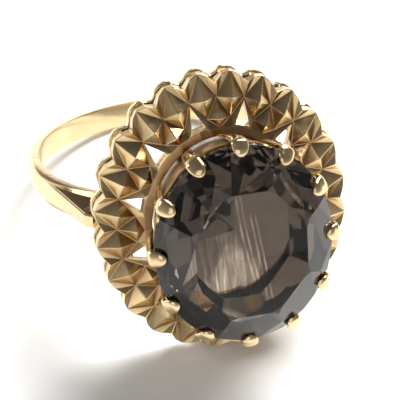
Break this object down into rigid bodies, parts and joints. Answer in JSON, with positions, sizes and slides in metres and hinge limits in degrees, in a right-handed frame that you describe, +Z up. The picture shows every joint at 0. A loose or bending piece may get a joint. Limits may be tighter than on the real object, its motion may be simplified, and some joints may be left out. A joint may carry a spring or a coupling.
{
  "type": "cocktail ring",
  "caption": "Cocktail ring with an oval smoky faceted stone in a claw-set collet, inside a scalloped and pierced border of small pyramids, on a narrow shank.",
  "frame": {"origin": "centre of the finger hole, midway along the finger's axis", "axes": "+Z up as the ring lies on a table, on two lobes of its rear rim and the edge of its shank; +X across the finger; -Y toward the stone, +Y toward the back of the shank"},
  "size_m": [0.019, 0.0258, 0.0161],
  "materials": {
    "gold": "polished 9 carat yellow gold",
    "smoky_stone": "polished faceted smoky quartz"
  },
  "bodies": {
    "root": {"shank": "gold", "shoulder_left": "gold", "shoulder_right": "gold", "rear_rim": "gold", "gallery_posts": "gold", "pyramid_border": "gold", "collet_bars": "gold", "collet_foot": "gold", "collet_wall": "gold", "claw_01": "gold", "claw_02": "gold", "claw_03": "gold", "claw_04": "gold", "claw_05": "gold", "claw_06": "gold", "claw_07": "gold", "claw_08": "gold", "claw_09": "gold", "claw_10": "gold", "claw_11": "gold", "claw_12": "gold", "stone": "smoky_stone"}
  },
  "joints": []
}
